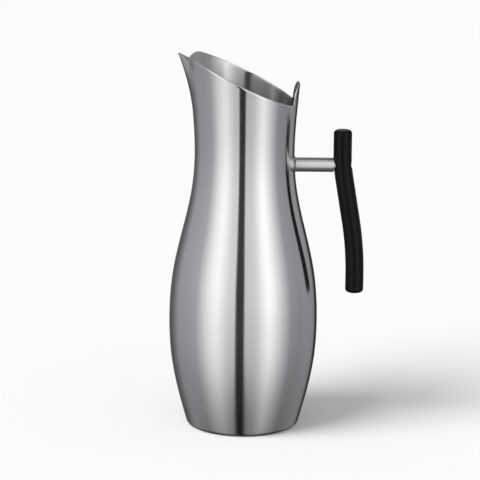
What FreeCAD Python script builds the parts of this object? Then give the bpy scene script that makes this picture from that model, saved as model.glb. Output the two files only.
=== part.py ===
"""Slant-mouth stainless water pitcher with a black bar grip on a welded post.

Millimetres. The origin is the centre of the face it stands on, +Z is up along the body's axis,
the pouring beak points to -X and the handle to +X. Every piece is a solid of its own.
"""
import FreeCAD, Part
import math
import os
from FreeCAD import Vector

# ---- body -------------------------------------------------------------------------------
SHEET = 1.0                 # wall of the spun shell
# Outside radius of the round body at each height: foot, belly, waist, neck and flared mouth.
BODY_STATIONS = [(0, 44.3), (25, 51.3), (55, 57.2), (88, 59.0), (125, 56.2), (160, 48.5),
                 (190, 41.95), (222, 39.5), (250, 40.8), (285, 44.1), (306, 46.4)]
FOOT_ROUNDING = 4.0         # outside radius of the corner between wall and foot
FOOT_FLANGE_RADIUS = 34.0   # inside edge of the foot, where the wall's sheet is turned in

# ---- pouring beak, pressed into the mouth -----------------------------------------------
BEAK_FOOT = 252.0           # height where the beak starts to leave the round body
BEAK_TOP = 300.0            # height of its tip
BEAK_REACH = 7.0            # how far the crest stands out of the round body at the tip
BEAK_GROWTH = 1.85          # the crest's reach rises with this power of the height
BEAK_HALF_ANGLE_LOW = 17.0  # degrees from the crest to where it has died down by 1/e, low down
BEAK_HALF_ANGLE_TOP = 9.0   # the same at the rim
BEAK_NARROWS_FROM = 0.55    # share of the beak's height where it starts to narrow
BEAK_NARROWED_AT = 0.97     # and where it is at its narrowest
BLANK_TOP = 306.0           # height of the body before its rim is trimmed
TRIM_REACH = 70.0           # half the size of the trimming prisms, clear of the body
COLUMNS = 26                # points that hold the wall's surface, from the crest to the back
FOOT_ROWS = 7               # rows of them round the foot's corner
LOW_ROWS = 22               # rows from there to the beak's foot
LOW_ROW_CROWDING = 1.6      # the low rows stand closer together towards the foot
HIGH_ROWS = 14              # rows from the beak's foot upward

# ---- trimmed rim, seen from the side ----------------------------------------------------
RIM_HEIGHT = 279.9          # height of the slanting rim over the body's axis
RIM_SLOPE = 0.47            # fall of the rim for each millimetre towards the handle
TIP_X = -52.4               # tip of the beak
NOTCH = (-44.8, 294.9)      # x, z of the notch between beak and shoulder
SHOULDER_X = -36.0          # where the shoulder's round meets the slanting rim
SHOULDER_RADIUS = 7.0

# ---- tongue at the back of the rim ------------------------------------------------------
TONGUE_TOP = 277.2
TONGUE_HALF_WIDTH = 16.3
TONGUE_CORNER = 9.0         # radius of its two upper corners
TONGUE_ROOT = 262.2         # height of the rim where the tongue's sides rise from it
TONGUE_ROOT_RADIUS = 2.0
TONGUE_TRIM_X = 20.0        # the tongue's trimming prism starts here, behind the axis
TONGUE_TRIM_DEPTH = 15.0    # and reaches this far below the tongue's root

# ---- bottom -----------------------------------------------------------------------------
SEAM_WIDTH = 1.2            # weld bead between foot flange and bottom disc
SEAM_PROUD = 0.3            # height of the bead over the sheet, inside the jug
DISC_STEP_OUTER = 27.0      # radius where the disc's flat edge starts to rise
DISC_STEP_INNER = 24.0      # radius of the raised, flat middle
DISC_RISE = 2.5
DISC_STEP_SHIFT = 0.3       # the step's upper side lies this much further out than its lower

# ---- handle post ------------------------------------------------------------------------
POST_HEIGHT = 211.8         # height of the post's axis
POST_DIAMETER = 11.4
POST_WALL = 1.2
POST_START_X = 30.0         # inside the neck; the neck's own surface copes the post
WELD_LEG = 0.9              # leg of the fillet weld round the post's root
WELD_DEPTH = 1.0            # how far the weld's cone is carried under the neck's surface
PLUG_COLLAR = 5.0           # length of the end plug that shows between tube and grip
PLUG_SPIGOT = 9.0           # length of the plug inside the tube
PLUG_SEAT_DIAMETER = 8.0    # boss on the collar's face, coped to the round grip
THREAD_DIAMETER = 4.0
THREAD_RUN_OUT = 2.0        # tapped depth beyond the screw's end

# ---- grip -------------------------------------------------------------------------------
GRIP_DIAMETER = 14.5
GRIP_TOP = 240.0
GRIP_BOTTOM = 108.4
GRIP_UPPER_X = 77.35        # distance of the upper, upright stretch from the body's axis
GRIP_LOWER_X = 88.45        # distance of the lower, upright stretch
GRIP_LEAN = 9.5             # degrees that the stretch between the two bends leans
GRIP_UPPER_BEND_START = 222.0
GRIP_UPPER_BEND_RADIUS = 130.0
GRIP_LOWER_BEND_RADIUS = 260.0
GRIP_END_ROUNDING = 2.8

# ---- screw that holds the grip, in a counterbore in its back ------------------------------
COUNTERBORE_DIAMETER = 6.8
SEAT_DEPTH = 9.9            # from the grip's front to the seat of the washers
SCREW_HOLE = 4.4
WASHER_DIAMETER = 6.4
WASHER_THICKNESS = 0.8
SPRING_WASHER_DIAMETER = 6.2
SPRING_WASHER_THICKNESS = 1.1
SPRING_WASHER_GAP = 1.0
SPRING_WASHER_TURN = 20.0   # degrees from upright to the gap
SCREW_HEAD_DIAMETER = 6.2
SCREW_HEAD_HEIGHT = 2.2
SCREW_HEAD_ROUNDING = 0.6
SCREW_SLOT_WIDTH = 1.1
SCREW_SLOT_DEPTH = 1.1
SCREW_SLOT_TURN = 35.0      # degrees from upright to the slot
SCREW_ENGAGEMENT = 8.0      # length of the screw inside the plug

CLEARANCE = 30.0            # how far cutting tools reach beyond what they cut

Z_AXIS = Vector(0, 0, 1)
X_AXIS = Vector(1, 0, 0)
Y_AXIS = Vector(0, 1, 0)
ORIGIN = Vector(0, 0, 0)

profile = Part.BSplineCurve()
profile.interpolate(
    Points=[Vector(radius, 0, height) for height, radius in BODY_STATIONS],
    Parameters=[float(height) for height, radius in BODY_STATIONS],
)


def body_radius(height, inset=0.0):
    """Outside radius of the round body, or the radius of a surface inset into its wall."""
    slope = profile.tangent(height)[0]
    return profile.value(height).x - inset / abs(slope.z)


def mouth_radius(angle, height, inset=0.0):
    """Radius of the mouth at an angle in degrees away from the beak's crest."""
    share = max(0.0, (height - BEAK_FOOT) / (BEAK_TOP - BEAK_FOOT))
    narrowed = (share - BEAK_NARROWS_FROM) / (BEAK_NARROWED_AT - BEAK_NARROWS_FROM)
    narrowed = min(1.0, max(0.0, narrowed))
    narrowed = narrowed ** 2 * (3 - 2 * narrowed)
    half_angle = BEAK_HALF_ANGLE_LOW + (BEAK_HALF_ANGLE_TOP - BEAK_HALF_ANGLE_LOW) * narrowed
    crest = BEAK_REACH * share ** BEAK_GROWTH * math.exp(-(angle / half_angle) ** 2)
    return body_radius(height, inset) + crest


def spline_through(points, parameters, closed=False):
    """A curve that passes through each point at its own parameter."""
    curve = Part.BSplineCurve()
    curve.interpolate(Points=points, PeriodicFlag=closed, Parameters=parameters)
    return curve


def foot_rounding():
    """Centre of the foot's rounding, and the wall's lean in radians where it takes over."""
    slope = profile.tangent(FOOT_ROUNDING)[0]
    lean = math.atan2(slope.x, slope.z)
    wall_height = FOOT_ROUNDING * (1 - math.sin(lean))
    centre_radius = body_radius(wall_height) - FOOT_ROUNDING * math.cos(lean)
    return Vector(centre_radius, 0, FOOT_ROUNDING), lean


def wall_rows(inset):
    """Height and radius (a function of the angle from the crest) of each row of the wall."""
    centre, lean = foot_rounding()
    rounding = FOOT_ROUNDING - inset
    rows = []
    for row in range(FOOT_ROWS):
        turn = -math.pi / 2 + (math.pi / 2 - lean) * row / FOOT_ROWS
        radius = centre.x + rounding * math.cos(turn)
        rows.append((centre.z + rounding * math.sin(turn), lambda angle, radius=radius: radius))
    wall_foot = centre.z - rounding * math.sin(lean)
    heights = [wall_foot + (BEAK_FOOT - wall_foot) * (row / LOW_ROWS) ** LOW_ROW_CROWDING
               for row in range(LOW_ROWS)]
    heights += [BEAK_FOOT + (BLANK_TOP - BEAK_FOOT) * row / HIGH_ROWS
                for row in range(HIGH_ROWS + 1)]
    for height in heights:
        rows.append((height, lambda angle, height=height: mouth_radius(angle, height, inset)))
    return rows


def body_blank(inset):
    """The whole untrimmed body as a solid, inset by a wall's thickness or not at all."""
    half_turn = [180.0 * (column / COLUMNS) ** 2 for column in range(COLUMNS + 1)]
    angles = [-angle for angle in half_turn[:0:-1]] + half_turn
    sections = []
    lengths = [0.0]
    rows = wall_rows(inset)
    for height, radius_at in rows:
        points = []
        for angle in angles[:-1]:
            turn = math.radians(angle)
            radius = radius_at(abs(angle))
            points.append(Vector(-radius * math.cos(turn), -radius * math.sin(turn), height))
        sections.append(spline_through(points, angles, closed=True))
    for (low, low_radius), (high, high_radius) in zip(rows, rows[1:]):
        step = math.hypot(high - low, high_radius(180.0) - low_radius(180.0))
        lengths.append(lengths[-1] + step)
    columns = [spline_through([section.getPole(number + 1) for section in sections], lengths)
               for number in range(sections[0].NbPoles)]
    surface = Part.BSplineSurface()
    surface.buildFromPolesMultsKnots(
        [column.getPoles() for column in columns],
        sections[0].getMultiplicities(), columns[0].getMultiplicities(),
        sections[0].getKnots(), columns[0].getKnots(), True, False, 3, 3)
    wall = surface.toShape()
    ends = [edge for edge in wall.Edges if edge.isClosed()]
    skin = Part.Shell([wall] + [Part.Face(Part.Wire(edge)) for edge in ends])
    skin.sewShape()
    return Part.Solid(skin)


def rim_z(x):
    """Height of the slanting rim over a point on the x axis."""
    return RIM_HEIGHT - RIM_SLOPE * x


def side_trim():
    """Everything below the rim as seen from the side: beak, notch, shoulder and slant."""
    notch = Vector(NOTCH[0], 0, NOTCH[1])
    tip = Vector(TIP_X, 0, BEAK_TOP)
    beyond_tip = tip + (tip - notch)
    shoulder_end = Vector(SHOULDER_X, 0, rim_z(SHOULDER_X))
    upward = Vector(RIM_SLOPE, 0, 1).normalize()
    centre = shoulder_end - upward * SHOULDER_RADIUS
    shoulder_top = centre + Z_AXIS * SHOULDER_RADIUS
    back_x = TRIM_REACH
    back = Vector(back_x, 0, rim_z(back_x))
    below = -CLEARANCE
    edges = [
        Part.makeLine(beyond_tip, notch),
        Part.Arc(notch, shoulder_top, shoulder_end).toShape(),
        Part.makeLine(shoulder_end, back),
        Part.makeLine(back, Vector(back_x, 0, below)),
        Part.makeLine(Vector(back_x, 0, below), Vector(beyond_tip.x, 0, below)),
        Part.makeLine(Vector(beyond_tip.x, 0, below), beyond_tip),
    ]
    prism = Part.Face(Part.Wire(edges)).extrude(Y_AXIS * 2 * TRIM_REACH)
    prism.translate(Y_AXIS * -TRIM_REACH)
    return prism


def tongue_trim():
    """The tongue as seen from behind: upright sides, round corners and filleted roots."""
    root_y = TONGUE_HALF_WIDTH + TONGUE_ROOT_RADIUS
    diagonal = math.sqrt(0.5)
    root_z = TONGUE_ROOT + TONGUE_ROOT_RADIUS
    corner_y = TONGUE_HALF_WIDTH - TONGUE_CORNER
    corner_z = TONGUE_TOP - TONGUE_CORNER
    x = TONGUE_TRIM_X
    below = TONGUE_ROOT - TONGUE_TRIM_DEPTH

    def side(sign):
        root_low = Vector(x, sign * root_y, TONGUE_ROOT)
        root_mid = Vector(x, sign * (root_y - TONGUE_ROOT_RADIUS * diagonal),
                          root_z - TONGUE_ROOT_RADIUS * diagonal)
        root_high = Vector(x, sign * TONGUE_HALF_WIDTH, root_z)
        corner_low = Vector(x, sign * TONGUE_HALF_WIDTH, corner_z)
        corner_mid = Vector(x, sign * (corner_y + TONGUE_CORNER * diagonal),
                            corner_z + TONGUE_CORNER * diagonal)
        corner_high = Vector(x, sign * corner_y, TONGUE_TOP)
        return root_low, root_mid, root_high, corner_low, corner_mid, corner_high

    edges = []
    for sign in (-1, 1):
        root_low, root_mid, root_high, corner_low, corner_mid, corner_high = side(sign)
        edges.append(Part.makeLine(Vector(x, sign * root_y, below), root_low))
        edges.append(Part.Arc(root_low, root_mid, root_high).toShape())
        edges.append(Part.makeLine(root_high, corner_low))
        edges.append(Part.Arc(corner_low, corner_mid, corner_high).toShape())
    edges.append(Part.makeLine(side(-1)[-1], side(1)[-1]))
    edges.append(Part.makeLine(Vector(x, -root_y, below), Vector(x, root_y, below)))
    wire = Part.Wire(Part.__sortEdges__(edges))
    return Part.Face(wire).extrude(X_AXIS * (TRIM_REACH - TONGUE_TRIM_X))


def body_shell():
    foot_opening = Part.makeCylinder(FOOT_FLANGE_RADIUS, 2 * FOOT_ROUNDING,
                                     Vector(0, 0, -FOOT_ROUNDING))
    walls = body_blank(0.0).cut(body_blank(SHEET)).cut(foot_opening)
    kept = side_trim().fuse(tongue_trim())
    return walls.common(kept)


def base_disc():
    edge_radius = FOOT_FLANGE_RADIUS - SEAM_WIDTH
    outline = Part.makePolygon([
        Vector(0, 0, DISC_RISE),
        Vector(DISC_STEP_INNER, 0, DISC_RISE),
        Vector(DISC_STEP_OUTER, 0, 0),
        Vector(edge_radius, 0, 0),
        Vector(edge_radius, 0, SHEET),
        Vector(DISC_STEP_OUTER + DISC_STEP_SHIFT, 0, SHEET),
        Vector(DISC_STEP_INNER + DISC_STEP_SHIFT, 0, DISC_RISE + SHEET),
        Vector(0, 0, DISC_RISE + SHEET),
        Vector(0, 0, DISC_RISE),
    ])
    return Part.Face(outline).revolve(ORIGIN, Z_AXIS, 360)


def base_seam():
    inner = FOOT_FLANGE_RADIUS - SEAM_WIDTH
    middle = FOOT_FLANGE_RADIUS - SEAM_WIDTH / 2
    crown = Part.Arc(Vector(inner, 0, SHEET), Vector(middle, 0, SHEET + SEAM_PROUD),
                     Vector(FOOT_FLANGE_RADIUS, 0, SHEET))
    outline = Part.Wire([
        Part.makeLine(Vector(FOOT_FLANGE_RADIUS, 0, 0), Vector(inner, 0, 0)),
        Part.makeLine(Vector(inner, 0, 0), Vector(inner, 0, SHEET)),
        crown.toShape(),
        Part.makeLine(Vector(FOOT_FLANGE_RADIUS, 0, SHEET), Vector(FOOT_FLANGE_RADIUS, 0, 0)),
    ])
    return Part.Face(outline).revolve(ORIGIN, Z_AXIS, 360)


def rod(radius, start_x, length):
    """A cylinder on the post's axis."""
    return Part.makeCylinder(radius, length, Vector(start_x, 0, POST_HEIGHT), X_AXIS)


def grip_bar(radius):
    """The S-curved round bar: upright, leaning outward, upright again."""
    lean = math.radians(GRIP_LEAN)
    upper_end = Vector(
        GRIP_UPPER_X + GRIP_UPPER_BEND_RADIUS * (1 - math.cos(lean)), 0,
        GRIP_UPPER_BEND_START - GRIP_UPPER_BEND_RADIUS * math.sin(lean))
    upper_mid = Vector(
        GRIP_UPPER_X + GRIP_UPPER_BEND_RADIUS * (1 - math.cos(lean / 2)), 0,
        GRIP_UPPER_BEND_START - GRIP_UPPER_BEND_RADIUS * math.sin(lean / 2))
    lower_start_x = GRIP_LOWER_X - GRIP_LOWER_BEND_RADIUS * (1 - math.cos(lean))
    lower_start = Vector(
        lower_start_x, 0, upper_end.z - (lower_start_x - upper_end.x) / math.tan(lean))
    lower_end = Vector(GRIP_LOWER_X, 0, lower_start.z - GRIP_LOWER_BEND_RADIUS * math.sin(lean))
    lower_mid = Vector(
        GRIP_LOWER_X - GRIP_LOWER_BEND_RADIUS * (1 - math.cos(lean / 2)), 0,
        lower_end.z + GRIP_LOWER_BEND_RADIUS * math.sin(lean / 2))
    top = Vector(GRIP_UPPER_X, 0, GRIP_TOP)
    bottom = Vector(GRIP_LOWER_X, 0, GRIP_BOTTOM)
    upper_start = Vector(GRIP_UPPER_X, 0, GRIP_UPPER_BEND_START)
    path = Part.Wire([
        Part.makeLine(top, upper_start),
        Part.Arc(upper_start, upper_mid, upper_end).toShape(),
        Part.makeLine(upper_end, lower_start),
        Part.Arc(lower_start, lower_mid, lower_end).toShape(),
        Part.makeLine(lower_end, bottom),
    ])
    section = Part.Wire(Part.makeCircle(radius, top, Z_AXIS))
    return path.makePipeShell([section], True, False)


def grip():
    bar = grip_bar(GRIP_DIAMETER / 2)
    ends = [edge for edge in bar.Edges
            if edge.BoundBox.ZLength < 0.01 and (edge.BoundBox.ZMax > GRIP_TOP - 0.01
                                                 or edge.BoundBox.ZMin < GRIP_BOTTOM + 0.01)]
    bar = bar.makeFillet(GRIP_END_ROUNDING, ends)
    hole = rod(SCREW_HOLE / 2, grip_front() - CLEARANCE, 2 * CLEARANCE)
    counterbore = rod(COUNTERBORE_DIAMETER / 2, seat_x(), CLEARANCE)
    return bar.cut(hole).cut(counterbore)


def grip_front():
    """The grip's nearest point to the body, on the post's axis."""
    into_bend = GRIP_UPPER_BEND_START - POST_HEIGHT
    outward = GRIP_UPPER_BEND_RADIUS - math.sqrt(GRIP_UPPER_BEND_RADIUS ** 2 - into_bend ** 2)
    return GRIP_UPPER_X + outward - GRIP_DIAMETER / 2


def seat_x():
    return grip_front() + SEAT_DEPTH


def plug_start():
    """Where the tube ends and the end plug's collar starts."""
    return grip_front() - PLUG_COLLAR


def handle_post():
    """The tube, coped to the neck at one end and square at the other."""
    length = plug_start() - POST_START_X
    tube = rod(POST_DIAMETER / 2, POST_START_X, length)
    bore = rod(POST_DIAMETER / 2 - POST_WALL, POST_START_X, length)
    return tube.cut(bore).cut(body_blank(0.0))


def post_root_weld():
    """A fillet of weld metal in the corner between neck and post."""
    height = WELD_LEG + WELD_DEPTH
    foot = Vector(body_radius(POST_HEIGHT) - WELD_DEPTH, 0, POST_HEIGHT)
    cone = Part.makeCone(POST_DIAMETER / 2 + height, POST_DIAMETER / 2, height, foot, X_AXIS)
    post = rod(POST_DIAMETER / 2, POST_START_X, CLEARANCE)
    return cone.cut(post).cut(body_blank(0.0))


def post_end_plug():
    """The turned, tapped plug: spigot in the tube, collar, and a boss coped to the round grip."""
    collar = rod(POST_DIAMETER / 2, plug_start(), PLUG_COLLAR)
    boss = rod(PLUG_SEAT_DIAMETER / 2, plug_start(), PLUG_COLLAR + GRIP_DIAMETER / 2)
    spigot = rod(POST_DIAMETER / 2 - POST_WALL, plug_start() - PLUG_SPIGOT, PLUG_SPIGOT)
    thread_start = grip_front() - SCREW_ENGAGEMENT - THREAD_RUN_OUT
    tapped = rod(THREAD_DIAMETER / 2, thread_start, CLEARANCE)
    return collar.fuse(boss).fuse(spigot).cut(tapped).cut(grip_bar(GRIP_DIAMETER / 2))


def flat_washer():
    disc = rod(WASHER_DIAMETER / 2, seat_x(), WASHER_THICKNESS)
    return disc.cut(rod(SCREW_HOLE / 2, seat_x(), WASHER_THICKNESS))


def spring_washer():
    start = seat_x() + WASHER_THICKNESS
    ring = rod(SPRING_WASHER_DIAMETER / 2, start, SPRING_WASHER_THICKNESS)
    ring = ring.cut(rod(SCREW_HOLE / 2, start, SPRING_WASHER_THICKNESS))
    gap = Part.makeBox(SPRING_WASHER_THICKNESS, SPRING_WASHER_GAP, SPRING_WASHER_DIAMETER,
                       Vector(start, -SPRING_WASHER_GAP / 2, POST_HEIGHT))
    gap.rotate(Vector(start, 0, POST_HEIGHT), X_AXIS, SPRING_WASHER_TURN)
    return ring.cut(gap)


def grip_screw():
    """Slotted cheese-head screw from the counterbore into the plug."""
    head_start = seat_x() + WASHER_THICKNESS + SPRING_WASHER_THICKNESS
    shank_start = grip_front() - SCREW_ENGAGEMENT
    head = rod(SCREW_HEAD_DIAMETER / 2, head_start, SCREW_HEAD_HEIGHT)
    head_end = head_start + SCREW_HEAD_HEIGHT
    top_edges = [edge for edge in head.Edges if edge.BoundBox.XMin > head_end - 0.01]
    head = head.makeFillet(SCREW_HEAD_ROUNDING, top_edges)
    slot_start = Vector(head_end - SCREW_SLOT_DEPTH, -SCREW_SLOT_WIDTH / 2,
                        POST_HEIGHT - SCREW_HEAD_DIAMETER)
    slot = Part.makeBox(SCREW_SLOT_DEPTH, SCREW_SLOT_WIDTH, 2 * SCREW_HEAD_DIAMETER, slot_start)
    slot.rotate(Vector(head_start, 0, POST_HEIGHT), X_AXIS, SCREW_SLOT_TURN)
    shank = rod(THREAD_DIAMETER / 2, shank_start, head_start - shank_start)
    return head.cut(slot).fuse(shank)


NODES = {
    "body_shell": body_shell,
    "base_disc": base_disc,
    "base_seam": base_seam,
    "handle_post": handle_post,
    "post_root_weld": post_root_weld,
    "post_end_plug": post_end_plug,
    "grip": grip,
    "flat_washer": flat_washer,
    "spring_washer": spring_washer,
    "grip_screw": grip_screw,
}

os.makedirs("parts", exist_ok=True)
for name, make in NODES.items():
    solid = make()
    assert solid.isValid(), name
    box = solid.BoundBox
    print(name, "solids", len(solid.Solids), "volume", round(solid.Volume, 1), "box",
          [round(value, 2) for value in
           (box.XMin, box.XMax, box.YMin, box.YMax, box.ZMin, box.ZMax)])
    solid.exportStep("parts/" + name + ".step")
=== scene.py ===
"""Studio picture of the slant-mouth stainless pitcher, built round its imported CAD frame."""

import math

import bpy
import numpy as np
from mathutils import Matrix, Vector


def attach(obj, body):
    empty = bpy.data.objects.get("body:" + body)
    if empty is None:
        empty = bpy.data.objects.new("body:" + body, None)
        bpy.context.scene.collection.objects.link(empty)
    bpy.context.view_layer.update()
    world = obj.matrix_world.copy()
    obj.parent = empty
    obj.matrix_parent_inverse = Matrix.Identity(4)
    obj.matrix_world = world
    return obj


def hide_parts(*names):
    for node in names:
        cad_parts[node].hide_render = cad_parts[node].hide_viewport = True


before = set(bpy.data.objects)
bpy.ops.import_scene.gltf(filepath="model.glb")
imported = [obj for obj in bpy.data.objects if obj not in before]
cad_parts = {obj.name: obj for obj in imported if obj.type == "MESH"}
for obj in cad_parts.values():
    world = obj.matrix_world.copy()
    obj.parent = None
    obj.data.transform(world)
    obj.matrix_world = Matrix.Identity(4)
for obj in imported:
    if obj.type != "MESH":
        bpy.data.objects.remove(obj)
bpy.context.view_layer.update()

MM = 0.001

# ---- the shell's shape, in millimetres, as the CAD part defines it -------------------------
SHEET = 1.0
STATION_HEIGHTS = np.array([0, 25, 55, 88, 125, 160, 190, 222, 250, 285, 306.0])
STATION_RADII = np.array([44.3, 51.3, 57.2, 59.0, 56.2, 48.5, 41.95, 39.5, 40.8, 44.1, 46.4])
FOOT_ROUNDING = 4.0
FOOT_FLANGE_RADIUS = 34.0
BEAK_FOOT = 252.0
BEAK_TOP = 300.0
BEAK_REACH = 7.0
BEAK_GROWTH = 1.85
BEAK_HALF_ANGLE_LOW = 17.0
BEAK_HALF_ANGLE_TOP = 9.0
BEAK_NARROWS_FROM = 0.55
BEAK_NARROWED_AT = 0.97
RIM_HEIGHT = 279.9
RIM_SLOPE = 0.47
TIP_X = -52.4
NOTCH_X = -44.8
NOTCH_Z = 294.9
SHOULDER_X = -36.0
SHOULDER_RADIUS = 7.0
TONGUE_TOP = 277.2
TONGUE_HALF_WIDTH = 16.3
TONGUE_CORNER = 9.0
TONGUE_ROOT = 262.2
TONGUE_ROOT_RADIUS = 2.0
LIP_ROUND = 0.45            # how far the rim's edge is rounded over
RIM_SEARCH = (240.0, 305.0)     # heights between which the rim lies
SKIN = 0.02                 # the mesh lies this far inside the CAD surface, to stay in its box
OUTSIDE, LIP, INSIDE = 0, 1, 2

# ---- mesh density ---------------------------------------------------------------------------
WALL_ROWS = 130
FOOT_ROWS = 10
RIM_COLUMNS = 74            # from the beak's crest to the tongue's root
ROOT_COLUMNS = 6
SIDE_COLUMNS = 4
CORNER_COLUMNS = 12
TOP_COLUMNS = 8
LIP_STEPS = 6               # faces round the rim's rounded edge
HALVINGS = 50               # steps in the search for the rim's height
EVEN_SHARE = 0.35           # part of the rim's columns that is evenly spaced
CROWDING = 2.2              # the others crowd towards the beak by this power
BLEND_FROM = 0.35           # share of the wall's height where columns begin to turn to the rim's
BLEND_OVER = 0.6            # and the share over which they do


# ---- shape functions ------------------------------------------------------------------------
def smooth_step(value):
    value = min(1.0, max(0.0, value))
    return value * value * (3 - 2 * value)


def end_slope(x, y):
    """Slope at x[0] of the cubic through the first four points."""
    slope = 0.0
    for i in range(4):
        others = [k for k in range(4) if k != i]
        scale = np.prod([x[i] - x[k] for k in others])
        rate = sum(np.prod([x[0] - x[k] for k in others if k != m]) for m in others)
        slope += y[i] * rate / scale
    return slope


def spline_slopes(x, y):
    """Slopes that make the piecewise cubic through the points smooth."""
    count = len(x)
    step = np.diff(x)
    rise = np.diff(y) / step
    matrix = np.eye(count)
    right = np.zeros(count)
    right[0] = end_slope(x[:4], y[:4])
    right[-1] = end_slope(x[:-5:-1], y[:-5:-1])
    for i in range(1, count - 1):
        matrix[i, i - 1:i + 2] = step[i], 2 * (step[i - 1] + step[i]), step[i - 1]
        right[i] = 3 * (step[i] * rise[i - 1] + step[i - 1] * rise[i])
    return np.linalg.solve(matrix, right)


STATION_SLOPES = spline_slopes(STATION_HEIGHTS, STATION_RADII)


def body_profile(height):
    """Radius of the round body and its slope at a height."""
    i = int(np.clip(np.searchsorted(STATION_HEIGHTS, height) - 1, 0, len(STATION_HEIGHTS) - 2))
    step = STATION_HEIGHTS[i + 1] - STATION_HEIGHTS[i]
    t = (height - STATION_HEIGHTS[i]) / step
    r0, r1 = STATION_RADII[i:i + 2]
    m0, m1 = STATION_SLOPES[i:i + 2] * step
    radius = ((2 * t ** 3 - 3 * t ** 2 + 1) * r0 + (t ** 3 - 2 * t ** 2 + t) * m0
              + (3 * t ** 2 - 2 * t ** 3) * r1 + (t ** 3 - t ** 2) * m1)
    slope = ((6 * t ** 2 - 6 * t) * (r0 - r1) + (3 * t ** 2 - 4 * t + 1) * m0
             + (3 * t ** 2 - 2 * t) * m1) / step
    return radius, slope


def wall_radius(angle, height, inset=0.0):
    """Radius of the wall at an angle in degrees from the beak's crest."""
    radius, slope = body_profile(height)
    share = max(0.0, (height - BEAK_FOOT) / (BEAK_TOP - BEAK_FOOT))
    narrowed = smooth_step((share - BEAK_NARROWS_FROM) / (BEAK_NARROWED_AT - BEAK_NARROWS_FROM))
    half_angle = BEAK_HALF_ANGLE_LOW + (BEAK_HALF_ANGLE_TOP - BEAK_HALF_ANGLE_LOW) * narrowed
    crest = BEAK_REACH * share ** BEAK_GROWTH * math.exp(-(angle / half_angle) ** 2)
    return radius - inset * math.hypot(1, slope) + crest


def rim_from_side(x):
    """Height of the trimmed rim seen from the side: beak, notch, shoulder, slant."""
    if x < NOTCH_X:
        return NOTCH_Z + (BEAK_TOP - NOTCH_Z) * (NOTCH_X - x) / (NOTCH_X - TIP_X)
    if x > SHOULDER_X:
        return RIM_HEIGHT - RIM_SLOPE * x
    return shoulder_arc(x)


def circle_through(a, b, c):
    """Centre and radius of the circle through three points of the side view."""
    (ax, az), (bx, bz), (cx, cz) = a, b, c
    d = 2 * (ax * (bz - cz) + bx * (cz - az) + cx * (az - bz))
    ux = ((ax ** 2 + az ** 2) * (bz - cz) + (bx ** 2 + bz ** 2) * (cz - az)
          + (cx ** 2 + cz ** 2) * (az - bz)) / d
    uz = ((ax ** 2 + az ** 2) * (cx - bx) + (bx ** 2 + bz ** 2) * (ax - cx)
          + (cx ** 2 + cz ** 2) * (bx - ax)) / d
    return ux, uz, math.hypot(ax - ux, az - uz)


SLANT_NORMAL = Vector((RIM_SLOPE, 1)).normalized()
SHOULDER_END = Vector((SHOULDER_X, RIM_HEIGHT - RIM_SLOPE * SHOULDER_X))
SHOULDER_TOP = SHOULDER_END - SLANT_NORMAL * SHOULDER_RADIUS + Vector((0, SHOULDER_RADIUS))
SHOULDER_ARC = circle_through((NOTCH_X, NOTCH_Z), SHOULDER_TOP, SHOULDER_END)


def shoulder_arc(x):
    centre_x, centre_z, radius = SHOULDER_ARC
    return centre_z + math.sqrt(max(0.0, radius ** 2 - (x - centre_x) ** 2))


def rim_height(angle):
    """Height where the wall at an angle from the crest meets the trimmed rim."""
    low, high = RIM_SEARCH
    for _ in range(HALVINGS):
        middle = (low + high) / 2
        x = -wall_radius(angle, middle) * math.cos(math.radians(angle))
        if middle < rim_from_side(x):
            low = middle
        else:
            high = middle
    return low - SKIN


def tongue_outline():
    """Half of the tongue's outline, as distance from the middle plane and height."""
    points = []
    root_y = TONGUE_HALF_WIDTH + TONGUE_ROOT_RADIUS
    root_z = TONGUE_ROOT + TONGUE_ROOT_RADIUS
    for i in range(ROOT_COLUMNS + 1):
        turn = math.pi / 2 * i / ROOT_COLUMNS
        points.append((root_y - TONGUE_ROOT_RADIUS * math.sin(turn),
                       root_z - TONGUE_ROOT_RADIUS * math.cos(turn)))
    corner_y = TONGUE_HALF_WIDTH - TONGUE_CORNER
    corner_z = TONGUE_TOP - TONGUE_CORNER
    for i in range(1, SIDE_COLUMNS):
        points.append((TONGUE_HALF_WIDTH, root_z + (corner_z - root_z) * i / SIDE_COLUMNS))
    for i in range(CORNER_COLUMNS + 1):
        turn = math.pi / 2 * i / CORNER_COLUMNS
        points.append((corner_y + TONGUE_CORNER * math.cos(turn),
                       corner_z + TONGUE_CORNER * math.sin(turn)))
    for i in range(1, TOP_COLUMNS + 1):
        points.append((corner_y * (1 - i / TOP_COLUMNS), TONGUE_TOP))
    return points


def rim_curve():
    """Half of the rim, from the beak's tip to the tongue's middle: angle and height."""
    root_y = TONGUE_HALF_WIDTH + TONGUE_ROOT_RADIUS
    root_angle = 180 - math.degrees(math.asin(root_y / body_profile(TONGUE_ROOT)[0]))
    curve = []
    for i in range(RIM_COLUMNS):
        share = i / RIM_COLUMNS
        angle = root_angle * (EVEN_SHARE * share + (1 - EVEN_SHARE) * share ** CROWDING)
        curve.append((angle, rim_height(angle)))
    for y, height in tongue_outline():
        radius = body_profile(height)[0]
        curve.append((180 - math.degrees(math.asin(min(1.0, y / radius))), height))
    return curve


def on_wall(angle, height, inset, side):
    """A point of the wall; side is -1 or 1 for the two mirrored halves."""
    radius = wall_radius(angle, height, inset) - SKIN
    turn = math.radians(angle)
    return Vector((-radius * math.cos(turn), side * radius * math.sin(turn), height))


# ---- mesh helpers ---------------------------------------------------------------------------
def new_mesh(name, points, faces):
    mesh = bpy.data.meshes.new(name)
    mesh.from_pydata([tuple(point * MM) for point in points], [], faces)
    mesh.validate()
    mesh.polygons.foreach_set("use_smooth", [True] * len(mesh.polygons))
    thing = bpy.data.objects.new(name, mesh)
    bpy.context.scene.collection.objects.link(thing)
    return thing


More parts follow.
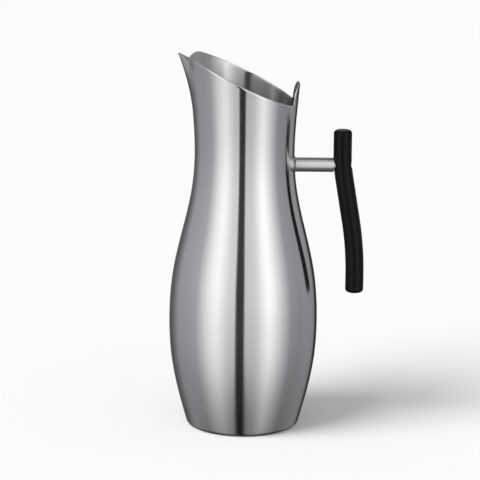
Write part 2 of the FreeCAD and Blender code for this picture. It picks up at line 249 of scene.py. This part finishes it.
def foot_centre():
    """Radius of the foot rounding's centre and the wall's lean there."""
    lean = math.atan(body_profile(FOOT_ROUNDING)[1])
    tangent_height = FOOT_ROUNDING * (1 - math.sin(lean))
    return body_profile(tangent_height)[0] - FOOT_ROUNDING * math.cos(lean), lean


def foot_rows(inset):
    """Radius and height of the foot, from the flange's edge out to the wall."""
    centre, lean = foot_centre()
    rounding = FOOT_ROUNDING - inset
    rows = [(FOOT_FLANGE_RADIUS, inset), (FOOT_FLANGE_RADIUS + 0.1, inset),
            ((FOOT_FLANGE_RADIUS + centre) / 2, inset)]
    for i in range(FOOT_ROWS):
        turn = -math.pi / 2 + (math.pi / 2 - lean) * i / FOOT_ROWS
        rows.append((centre + rounding * math.cos(turn),
                     FOOT_ROUNDING + rounding * math.sin(turn)))
    return rows, FOOT_ROUNDING - rounding * math.sin(lean)


def column_points(column, count, rim_point, side):
    """The outside and the inside line of the wall for one column, from the foot up to the rim."""
    rim_angle, rim_z = rim_point
    even_angle = 180.0 * column / (count - 1)

    def face(inset):
        rows, wall_foot = foot_rows(inset)
        turn = math.radians(even_angle)
        around = Vector((-math.cos(turn), side * math.sin(turn), 0))
        line = [around * radius + Vector((0, 0, height)) for radius, height in rows]
        for row in range(WALL_ROWS):
            share = row / (WALL_ROWS - 1)
            height = wall_foot + (rim_z - wall_foot) * share
            blend = smooth_step((share - BLEND_FROM) / BLEND_OVER)
            angle = even_angle + (rim_angle - even_angle) * blend
            line.append(on_wall(angle, height, inset, side))
        return line

    return face(0.0), face(SHEET)


def rounded_lips(outer_rim, inner_rim, below):
    """Replaces the square edge of the rim by a round one that stays inside it."""
    count = len(outer_rim)
    lips = []
    for i in range(count):
        along = outer_rim[(i + 1) % count] - outer_rim[i - 1]
        across = outer_rim[i] - inner_rim[i]
        upward = along.cross(across).normalized()
        if upward.dot(outer_rim[i] - below[i]) < 0:
            upward = -upward
        middle = (outer_rim[i] + inner_rim[i]) / 2 - upward * LIP_ROUND
        ring = []
        for step in range(LIP_STEPS + 1):
            turn = math.pi * step / LIP_STEPS
            ring.append(middle + across / 2 * math.cos(turn)
                        + upward * LIP_ROUND * math.sin(turn))
        lips.append(ring)
    return lips


def shell_mesh():
    """The whole shell as one closed mesh."""
    half = rim_curve()
    count = len(half)
    order = [(i, 1) for i in range(count)] + [(i, -1) for i in range(count - 2, 0, -1)]
    pairs = [column_points(i, count, half[i], side) for i, side in order]
    lips = rounded_lips([outer[-1] for outer, inner in pairs],
                        [inner[-1] for outer, inner in pairs],
                        [outer[-3] for outer, inner in pairs])
    loops = [outer[:-1] + lip + inner[-2::-1]
             for (outer, inner), lip in zip(pairs, lips)]
    size = len(loops[0])
    points = [point for loop in loops for point in loop]
    faces = []
    for column in range(len(loops)):
        following = (column + 1) % len(loops)
        for row in range(size):
            above = (row + 1) % size
            faces.append((column * size + row, column * size + above,
                          following * size + above, following * size + row))
    shell = new_mesh("body_shell_fine", points, faces)
    outer_rows = len(pairs[0][0]) - 1
    lip_rows = len(lips[0])
    zones = []
    for row in range(size):
        if row < outer_rows or row == size - 1:
            zones.append(OUTSIDE)
        elif row < outer_rows + lip_rows - 1:
            zones.append(LIP)
        else:
            zones.append(INSIDE)
    shell.data.polygons.foreach_set("material_index", zones * len(loops))
    return shell


# ---- material helpers -----------------------------------------------------------------------
def new_material(name):
    material = bpy.data.materials.new(name)
    material.use_nodes = True
    nodes = material.node_tree.nodes
    return material, nodes, material.node_tree.links, nodes["Principled BSDF"]


def noise(nodes, links, stretch, scale, detail=3.0, roughness=0.55):
    """Noise in the object's own metres, stretched along each axis."""
    place = nodes.new("ShaderNodeTexCoord")
    mapping = nodes.new("ShaderNodeMapping")
    mapping.inputs["Scale"].default_value = stretch
    texture = nodes.new("ShaderNodeTexNoise")
    texture.inputs["Scale"].default_value = scale
    texture.inputs["Detail"].default_value = detail
    texture.inputs["Roughness"].default_value = roughness
    links.new(place.outputs["Object"], mapping.inputs["Vector"])
    links.new(mapping.outputs["Vector"], texture.inputs["Vector"])
    return texture.outputs["Fac"]


def remap(nodes, links, source, low, high, from_low=0.3, from_high=0.7):
    box = nodes.new("ShaderNodeMapRange")
    box.inputs["From Min"].default_value = from_low
    box.inputs["From Max"].default_value = from_high
    box.inputs["To Min"].default_value = low
    box.inputs["To Max"].default_value = high
    links.new(source, box.inputs["Value"])
    return box.outputs["Result"]


def grey_mix(nodes, links, factor, dark, light):
    mix = nodes.new("ShaderNodeMix")
    mix.data_type = "RGBA"
    mix.inputs[6].default_value = (*dark, 1)
    mix.inputs[7].default_value = (*light, 1)
    links.new(factor, mix.inputs[0])
    return mix.outputs[2]


def bump(nodes, links, height, distance, strength=1.0):
    relief = nodes.new("ShaderNodeBump")
    relief.inputs["Distance"].default_value = distance
    relief.inputs["Strength"].default_value = strength
    links.new(height, relief.inputs["Height"])
    return relief.outputs["Normal"]


def brushed_steel(name, dark, light, smooth, rough):
    """Satin steel brushed round the axis: fine rings, and reflections smeared up and down."""
    material, nodes, links, shader = new_material(name)
    rings = noise(nodes, links, (18, 18, 5200), 1.0, 4.0, 0.6)
    cloud = noise(nodes, links, (1, 1, 1), 22.0, 2.0)
    shader.inputs["Metallic"].default_value = 1.0
    shader.inputs["Anisotropic"].default_value = 1.0
    shader.inputs["Anisotropic Rotation"].default_value = 0.25
    links.new(grey_mix(nodes, links, rings, dark, light), shader.inputs["Base Color"])
    links.new(remap(nodes, links, cloud, smooth, rough), shader.inputs["Roughness"])
    links.new(bump(nodes, links, rings, 0.000004), shader.inputs["Normal"])
    tangent = nodes.new("ShaderNodeTangent")
    tangent.direction_type = "RADIAL"
    tangent.axis = "Z"
    links.new(tangent.outputs["Tangent"], shader.inputs["Tangent"])
    return material


def polished_steel(name, smooth, rough):
    """Polished tube and fasteners: fine lines round the post, a few handling marks."""
    material, nodes, links, shader = new_material(name)
    lines = noise(nodes, links, (4200, 60, 60), 1.0, 3.0)
    marks = noise(nodes, links, (1, 1, 1), 260.0, 2.0)
    shader.inputs["Metallic"].default_value = 1.0
    shader.inputs["Anisotropic"].default_value = 1.0
    shader.inputs["Anisotropic Rotation"].default_value = 0.25
    tone = grey_mix(nodes, links, lines, (0.78, 0.78, 0.76), (0.86, 0.86, 0.84))
    links.new(tone, shader.inputs["Base Color"])
    links.new(remap(nodes, links, marks, smooth, rough), shader.inputs["Roughness"])
    links.new(bump(nodes, links, lines, 0.000003), shader.inputs["Normal"])
    tangent = nodes.new("ShaderNodeTangent")
    tangent.direction_type = "RADIAL"
    tangent.axis = "X"
    links.new(tangent.outputs["Tangent"], shader.inputs["Tangent"])
    return material


def weld_steel():
    """Ground weld metal: duller and a little uneven."""
    material, nodes, links, shader = new_material("weld_steel")
    grain = noise(nodes, links, (1, 1, 1), 900.0, 4.0)
    shader.inputs["Metallic"].default_value = 1.0
    tone = grey_mix(nodes, links, grain, (0.42, 0.42, 0.43), (0.64, 0.64, 0.64))
    links.new(tone, shader.inputs["Base Color"])
    links.new(remap(nodes, links, grain, 0.26, 0.42), shader.inputs["Roughness"])
    links.new(bump(nodes, links, grain, 0.00003), shader.inputs["Normal"])
    return material


def black_phenolic():
    """Moulded black phenolic: satin gloss with a faint moulding grain."""
    material, nodes, links, shader = new_material("black_phenolic")
    grain = noise(nodes, links, (1, 1, 1), 1400.0, 3.0)
    wear = noise(nodes, links, (1, 1, 0.5), 60.0, 3.0)
    tone = grey_mix(nodes, links, wear, (0.0016, 0.0014, 0.0024), (0.0036, 0.0032, 0.0052))
    links.new(tone, shader.inputs["Base Color"])
    links.new(remap(nodes, links, wear, 0.22, 0.34), shader.inputs["Roughness"])
    links.new(bump(nodes, links, grain, 0.000012), shader.inputs["Normal"])
    shader.inputs["Specular IOR Level"].default_value = 0.16
    return material


def give(node_name, material):
    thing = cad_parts[node_name]
    thing.data.materials.clear()
    thing.data.materials.append(material)


# ---- pieces ---------------------------------------------------------------------------------
steel = brushed_steel("satin_steel", (0.66, 0.66, 0.67), (0.74, 0.74, 0.74), 0.155, 0.185)
# the inside gets a darker copy of the steel colour: painted shade inside the jug
inside_painted_shade_steel = brushed_steel("inside_painted_shade_steel", (0.555, 0.57, 0.56), (0.645, 0.66, 0.65), 0.20, 0.25)
# the rim's lip gets a lighter copy of the steel: a painted highlight along the rim's edge
lip_painted_highlight_steel = brushed_steel("lip_painted_highlight_steel", (0.82, 0.82, 0.82), (0.92, 0.92, 0.92), 0.20, 0.30)
polished = polished_steel("polished_steel", 0.28, 0.34)
weld = weld_steel()
phenolic = black_phenolic()

shell = shell_mesh()
for zone_steel in (steel, lip_painted_highlight_steel, inside_painted_shade_steel):
    shell.data.materials.append(zone_steel)
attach(shell, "root")
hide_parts("body_shell")

give("base_disc", steel)
give("base_seam", weld)
give("handle_post", polished)
give("post_end_plug", polished)
give("post_root_weld", weld)
give("grip", phenolic)
for fastener in ("flat_washer", "spring_washer", "grip_screw"):
    give(fastener, polished)


# ---- floor, light and camera ----------------------------------------------------------------
FLOOR_HALF = 6000           # millimetres from the jug's axis to the floor's edge


def floor():
    corners = [Vector((x * FLOOR_HALF, y * FLOOR_HALF, 0))
               for x, y in ((-1, -1), (1, -1), (1, 1), (-1, 1))]
    plane = new_mesh("floor", corners, [(0, 1, 2, 3)])
    material, nodes, links, shader = new_material("pale_floor")
    shader.inputs["Base Color"].default_value = (0.885, 0.888, 0.89, 1)
    shader.inputs["Roughness"].default_value = 0.9
    plane.data.materials.append(material)
    plane.visible_glossy = False


floor()

# Brightness of the studio by direction: degrees from the front (-Y) towards +X, and level. The
# soft boxes peak at 42 degrees on both sides, and a dark strip stands near the back on each side.
STUDIO_ROUND = [(-180, 0.52), (-167, 0.34), (-163, 0.10), (-146, 0.16), (-135, 0.27),
                (-122, 0.46), (-100, 0.49), (-80, 0.56), (-70, 0.82), (-59, 1.18),
                (-50, 1.38), (-42, 1.46), (-36, 1.33), (-30, 1.16), (-22, 0.96),
                (5, 0.87), (16, 0.90), (24, 1.06), (30, 1.28), (36, 1.45),
                (42, 1.56), (50, 1.36), (60, 1.01), (71, 0.69), (80, 0.44),
                (100, 0.38), (112, 0.40), (126, 0.40), (143, 0.36), (152, 0.03),
                (164, 0.02), (180, 0.52)]
# The same by degrees above the level.
STUDIO_UP = [(-90, 0.10), (-60, 0.15), (-48, 0.14), (-45, 0.27), (-41, 0.43),
             (-36, 0.56), (-29, 0.64), (-24, 0.70), (-21, 0.74), (-15, 0.82),
             (-11, 0.87), (-5, 0.94), (2, 0.97), (15, 0.95), (52, 1.0),
             (59, 0.35), (70, 0.35), (77, 0.9), (90, 0.8)]
SHADE_TINT = (0.99, 0.975, 1.025)       # the dimmer parts of the studio are a little violet
SHADE_LEVEL = 0.7           # levels under this one count as dim
GAP_MIDDLE = -5.1           # degrees round to the middle of the dark gap between the soft boxes
GAP_HALF_WIDTH = 6.9
GAP_LEVEL = 0.06            # what is left of the light in the gap
GAP_SPREAD_FROM = -25.0     # degrees above the level; the gap widens further down
GAP_SPREAD = 0.23           # degrees wider on each side for each degree further down
GAP_EDGE = 0.7              # degrees over which the gap's edge fades, on each side of it
GAP_EDGE_SPREAD = 0.22      # the edge fades this much more slowly for each degree further down
AMBIENT = 0.51              # even light on floor and grip, which reflections don't see
AMBIENT_COLOUR = (0.985, 0.992, 1.0)


def calculate(nodes, links, operation, first, second=0.0):
    """A Math node; each input is a socket or a number."""
    node = nodes.new("ShaderNodeMath")
    node.operation = operation
    for socket, value in zip(node.inputs, (first, second)):
        if isinstance(value, (int, float)):
            socket.default_value = value
        else:
            links.new(value, socket)
    return node.outputs[0]


def tinted(level):
    """Grey of a level, a little violet where it is dim."""
    shade = SHADE_TINT if level < SHADE_LEVEL else (1, 1, 1)
    return tuple(level * part for part in shade)


def plain(level):
    return level, level, level


def ramp(nodes, links, source, low, high, stops, colour_of):
    """Colour read from stops between two limits of the source."""
    node = nodes.new("ShaderNodeValToRGB")
    elements = node.color_ramp.elements
    while len(elements) < len(stops):
        elements.new(0.5)
    for element, (place, level) in zip(elements, stops):
        element.position = (place - low) / (high - low)
        element.color = (*colour_of(level), 1)
    links.new(remap(nodes, links, source, 0, 1, low, high), node.inputs["Fac"])
    return node.outputs["Color"]


def studio_world():
    """Two big soft boxes to the left and right front, with a dark gap beside the camera."""
    world = bpy.data.worlds.new("studio")
    bpy.context.scene.world = world
    world.use_nodes = True
    nodes, links = world.node_tree.nodes, world.node_tree.links
    place = nodes.new("ShaderNodeTexCoord")
    split = nodes.new("ShaderNodeSeparateXYZ")
    links.new(place.outputs["Generated"], split.inputs["Vector"])
    x, y, z = split.outputs
    turn = calculate(nodes, links, "ARCTAN2", x, calculate(nodes, links, "MULTIPLY", y, -1))
    degrees = calculate(nodes, links, "DEGREES", turn)
    up = calculate(nodes, links, "DEGREES", calculate(nodes, links, "ARCSINE", z))
    below = calculate(nodes, links, "MAXIMUM",
                      calculate(nodes, links, "SUBTRACT", GAP_SPREAD_FROM, up), 0.0)
    spread = calculate(nodes, links, "MULTIPLY", below, GAP_SPREAD)
    half_width = calculate(nodes, links, "ADD", spread, GAP_HALF_WIDTH)
    off = calculate(nodes, links, "ABSOLUTE",
                    calculate(nodes, links, "SUBTRACT", degrees, GAP_MIDDLE))
    outside = calculate(nodes, links, "SUBTRACT", off, half_width)
    edge = calculate(nodes, links, "ADD",
                     calculate(nodes, links, "MULTIPLY", below, GAP_EDGE_SPREAD), GAP_EDGE)
    gap = remap(nodes, links, calculate(nodes, links, "DIVIDE", outside, edge),
                GAP_LEVEL, 1.0, -1.0, 1.0)
    lit = nodes.new("ShaderNodeMix")
    lit.data_type = "RGBA"
    lit.blend_type = "MULTIPLY"
    lit.inputs[0].default_value = 1.0
    links.new(ramp(nodes, links, degrees, -180, 180, STUDIO_ROUND, tinted), lit.inputs[6])
    links.new(ramp(nodes, links, up, -90, 90, STUDIO_UP, plain), lit.inputs[7])
    background = nodes["Background"]
    links.new(lit.outputs[2], background.inputs["Color"])
    links.new(gap, background.inputs["Strength"])
    ambient = nodes.new("ShaderNodeBackground")
    ambient.inputs["Color"].default_value = (*AMBIENT_COLOUR, 1)
    ambient.inputs["Strength"].default_value = AMBIENT
    path = nodes.new("ShaderNodeLightPath")
    choose = nodes.new("ShaderNodeMixShader")
    links.new(path.outputs["Is Glossy Ray"], choose.inputs["Fac"])
    links.new(ambient.outputs[0], choose.inputs[1])
    links.new(background.outputs[0], choose.inputs[2])
    links.new(choose.outputs[0], nodes["World Output"].inputs["Surface"])


studio_world()


def soft_sun(name, towards, strength, spread):
    """A large distant lamp that lights the floor and casts the soft shadow."""
    light = bpy.data.lights.new(name, "SUN")
    light.energy = strength
    light.angle = spread
    lamp = bpy.data.objects.new(name, light)
    lamp.rotation_euler = Vector(towards).to_track_quat("-Z", "Y").to_euler()
    lamp.visible_glossy = False
    bpy.context.scene.collection.objects.link(lamp)


KEY_TOWARDS = (0.80, 0.50, -0.98)
KEY_STRENGTH = 2.7
KEY_SPREAD = math.radians(38)
soft_sun("key", KEY_TOWARDS, KEY_STRENGTH, KEY_SPREAD)

CAMERA_DISTANCE = 2.3
CAMERA_PITCH = math.radians(13.5)
CAMERA_ROLL = math.radians(0.53)
CAMERA_AZIMUTH = 0.0
CAMERA_LENS = 217
AIM = Vector((-0.003, 0, 0.150))


def camera():
    data = bpy.data.cameras.new("camera")
    data.lens = CAMERA_LENS
    thing = bpy.data.objects.new("camera", data)
    back = Vector((math.sin(CAMERA_AZIMUTH) * math.cos(CAMERA_PITCH),
                   -math.cos(CAMERA_AZIMUTH) * math.cos(CAMERA_PITCH), math.sin(CAMERA_PITCH)))
    turn = (-back).to_track_quat("-Z", "Y").to_matrix().to_4x4()
    thing.matrix_world = (Matrix.Translation(AIM + back * CAMERA_DISTANCE) @ turn
                          @ Matrix.Rotation(CAMERA_ROLL, 4, "Z"))
    bpy.context.scene.collection.objects.link(thing)
    bpy.context.scene.camera = thing


camera()
bpy.context.scene.view_settings.view_transform = "Standard"
